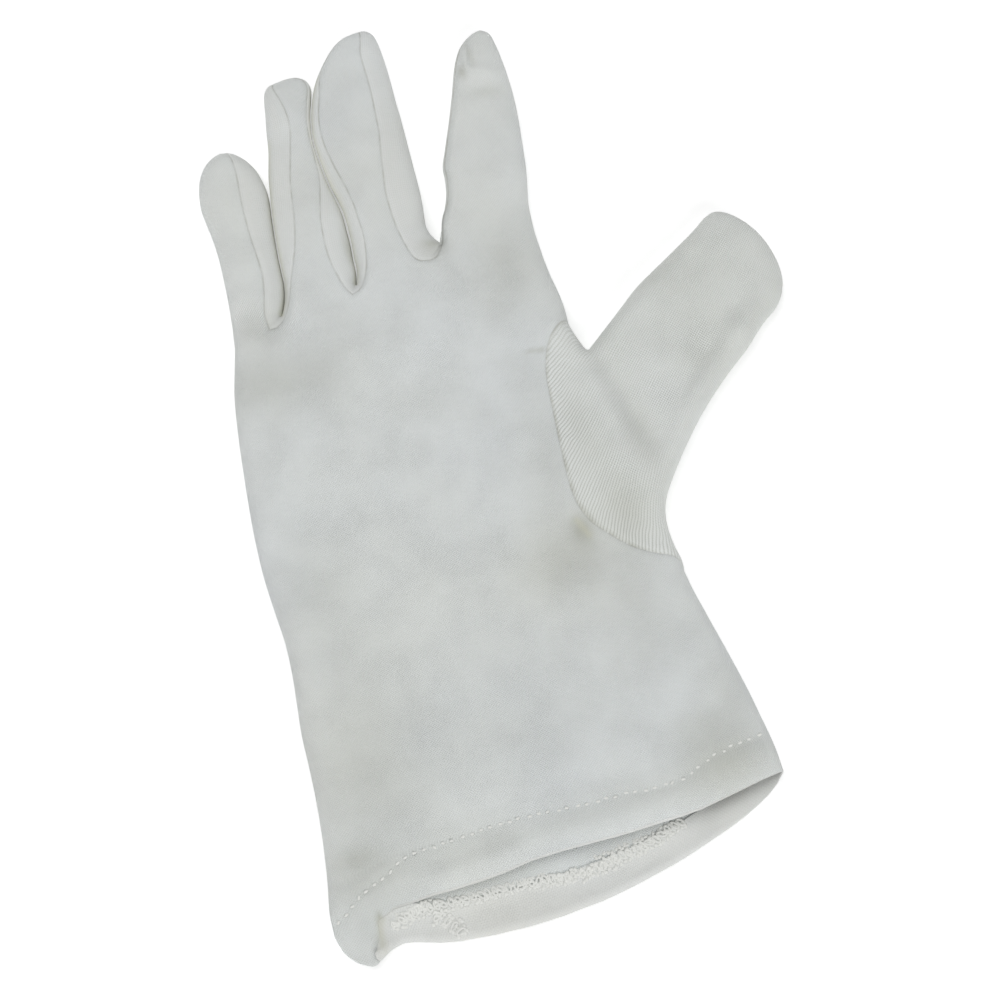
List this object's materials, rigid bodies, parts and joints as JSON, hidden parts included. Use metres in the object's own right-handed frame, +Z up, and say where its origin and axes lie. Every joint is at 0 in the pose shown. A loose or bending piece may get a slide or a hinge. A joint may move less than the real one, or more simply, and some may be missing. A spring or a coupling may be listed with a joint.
{
  "type": "cotton glove",
  "caption": "Hollow right-hand dress glove of thin cotton knit, laid flat with the palm up, with separate fingers, set-in thumb and flared hemmed cuff.",
  "frame": {"origin": "on the surface the glove lies on, under the middle of the wrist", "axes": "+Y from the wrist to the fingertips, +X towards the thumb, +Z up out of the palm side"},
  "size_m": [0.1644, 0.2581, 0.0162],
  "materials": {
    "cotton_body": "matte fine white cotton knit",
    "cotton_thumb": "matte white cotton knit with visible wales",
    "cotton_fourchette": "matte white cotton knit, ribs along the strip",
    "cotton_hem": "matte white cotton knit, doubled and stitched"
  },
  "bodies": {
    "root": {"palm_panel": "cotton_body", "back_panel": "cotton_body", "thumb_piece": "cotton_thumb", "fourchette_little_ring": "cotton_fourchette", "fourchette_ring_middle": "cotton_fourchette", "fourchette_middle_index": "cotton_fourchette", "cuff_hem": "cotton_hem"}
  },
  "joints": []
}
